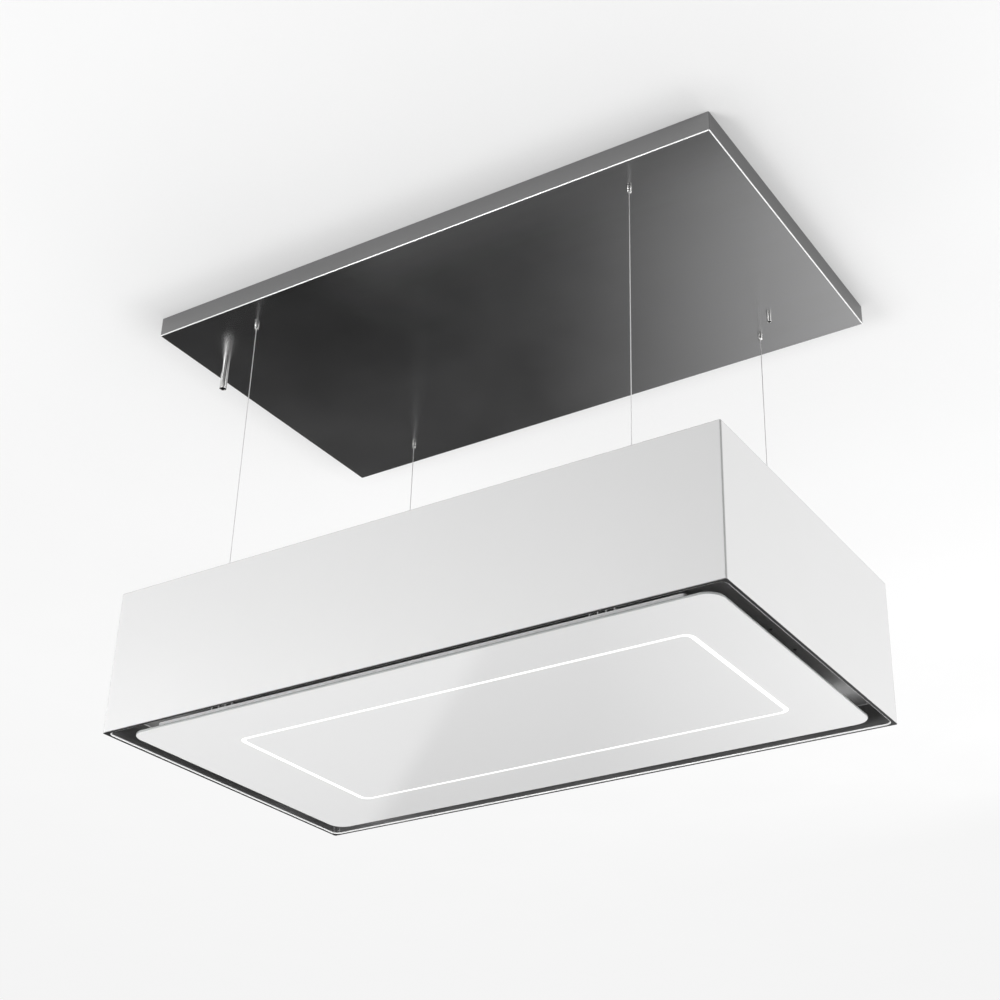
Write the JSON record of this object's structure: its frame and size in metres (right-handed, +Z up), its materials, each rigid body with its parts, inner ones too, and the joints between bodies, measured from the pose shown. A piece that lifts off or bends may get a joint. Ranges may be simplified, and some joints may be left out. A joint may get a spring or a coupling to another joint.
{
  "type": "island range hood",
  "caption": "Box-shaped island cooker hood hung from a ceiling box on wires, with a hinged glass panel, perimeter suction, a light line, grease filters and a blower.",
  "frame": {"origin": "centre of the ceiling plane, in the middle of the ceiling fixing holes", "axes": "+X along the hood, -Y towards the glass panel's opening edge, +Z up into the ceiling"},
  "size_m": [1.2, 0.65, 0.863],
  "materials": {
    "brushed_cover": "long horizontal brushing, satin",
    "galvanised": "galvanised, dull",
    "fastener": "zinc plated",
    "nickel": "nickel plated",
    "wire": "stranded stainless steel",
    "grey_plastic": "moulded, fine grain",
    "white_lacquer": "satin powder coat",
    "recess_steel": "brushed, satin",
    "rivet": "dark zinc",
    "filter_mesh": "layered expanded mesh in a rolled frame",
    "magnet": "magnet in a black steel post",
    "cast_aluminium": "pressed can, matt",
    "iron_core": "laminated, varnished",
    "circuit_board": "solder mask",
    "white_plastic": "moulded",
    "white_glass": "clear face, white painted back, polished edge",
    "tray_steel": "satin",
    "extrusion": "anodised",
    "light": "opal light guide",
    "wheel_plastic": "moulded",
    "shaft_steel": "ground shaft, cast rotor",
    "latch_plastic": "moulded",
    "charcoal": "black cassette"
  },
  "bodies": {
    "ceiling_set": {"ceiling_cover": "brushed_cover", "ceiling_rail_near": "galvanised", "ceiling_rail_far": "galvanised", "ceiling_cross_rails": "galvanised", "ceiling_frame_bolts": "fastener", "wire_grippers": "nickel", "gripper_nuts": "fastener", "suspension_wires": "wire", "supply_sleeve": "nickel", "control_sleeve": "nickel", "junction_box": "grey_plastic", "junction_box_lid": "grey_plastic"},
    "hood": {"casing": "white_lacquer", "top_cover": "white_lacquer", "cover_screws": "fastener", "outlet_grille": "white_lacquer", "chassis_rails": "galvanised", "cross_members": "galvanised", "wire_anchors": "nickel", "anchor_nuts": "fastener", "lead_glands": "grey_plastic", "liner": "recess_steel", "liner_brackets": "galvanised", "liner_rivets": "rivet", "grease_filter_left": "filter_mesh", "grease_filter_right": "filter_mesh", "catch_magnets": "magnet", "hinge_brackets": "nickel", "hinge_pins": "fastener", "hinge_screws": "fastener", "blower_shell_left": "galvanised", "blower_shell_right": "galvanised", "blower_screws": "fastener", "motor_spider": "galvanised", "motor_housing": "cast_aluminium", "stator": "iron_core", "bearings": "fastener", "electrics_plate": "galvanised", "control_box": "grey_plastic", "control_board": "circuit_board", "control_box_lid": "grey_plastic", "led_driver": "white_plastic", "run_capacitor": "white_plastic"},
    "panel": {"glass_panel": "white_glass", "panel_tray": "tray_steel", "led_channel": "extrusion", "led_board": "circuit_board", "light_guide": "light", "catch_yokes": "fastener", "hinge_leaves": "nickel"},
    "impeller": {"impeller": "wheel_plastic", "rotor_shaft": "shaft_steel"},
    "filter_latch_left": {"filter_latch_left": "latch_plastic"},
    "filter_latch_right": {"filter_latch_right": "latch_plastic"},
    "charcoal_filter_left": {"charcoal_filter_left": "charcoal"},
    "charcoal_filter_right": {"charcoal_filter_right": "charcoal"},
    "gripper_release_1": {"gripper_release_1": "nickel"},
    "gripper_release_2": {"gripper_release_2": "nickel"},
    "gripper_release_3": {"gripper_release_3": "nickel"},
    "gripper_release_4": {"gripper_release_4": "nickel"}
  },
  "joints": [
    {"name": "hood_raise", "type": "slide", "parent": "ceiling_set", "child": "hood", "axis": [0, 0, 1], "range_m": [0, 0.3], "deforming": ["suspension_wires"]},
    {"name": "panel_hinge", "type": "hinge", "parent": "hood", "child": "panel", "pos_m": [0, 0.28, -0.842], "axis": [1, 0, 0], "range_deg": [0, 90]},
    {"name": "wheel_spin", "type": "hinge", "parent": "hood", "child": "impeller", "pos_m": [0, 0, -0.704], "axis": [1, 0, 0], "continuous": true},
    {"name": "filter_latch_left_slide", "type": "slide", "parent": "hood", "child": "filter_latch_left", "axis": [0, 1, 0], "range_m": [0, 0.006], "stiffness_N_per_m": 500, "springref_m": -0.002},
    {"name": "filter_latch_right_slide", "type": "slide", "parent": "hood", "child": "filter_latch_right", "axis": [0, 1, 0], "range_m": [0, 0.006], "stiffness_N_per_m": 500, "springref_m": -0.002},
    {"name": "charcoal_left_twist", "type": "hinge", "parent": "hood", "child": "charcoal_filter_left", "pos_m": [0, 0, -0.704], "axis": [1, 0, 0], "range_deg": [0, 15]},
    {"name": "charcoal_right_twist", "type": "hinge", "parent": "hood", "child": "charcoal_filter_right", "pos_m": [0, 0, -0.704], "axis": [1, 0, 0], "range_deg": [0, 15]},
    {"name": "gripper_release_1_push", "type": "slide", "parent": "ceiling_set", "child": "gripper_release_1", "axis": [0, 0, 1], "range_m": [0, 0.0012], "stiffness_N_per_m": 800, "springref_m": -0.001},
    {"name": "gripper_release_2_push", "type": "slide", "parent": "ceiling_set", "child": "gripper_release_2", "axis": [0, 0, 1], "range_m": [0, 0.0012], "stiffness_N_per_m": 800, "springref_m": -0.001},
    {"name": "gripper_release_3_push", "type": "slide", "parent": "ceiling_set", "child": "gripper_release_3", "axis": [0, 0, 1], "range_m": [0, 0.0012], "stiffness_N_per_m": 800, "springref_m": -0.001},
    {"name": "gripper_release_4_push", "type": "slide", "parent": "ceiling_set", "child": "gripper_release_4", "axis": [0, 0, 1], "range_m": [0, 0.0012], "stiffness_N_per_m": 800, "springref_m": -0.001}
  ]
}
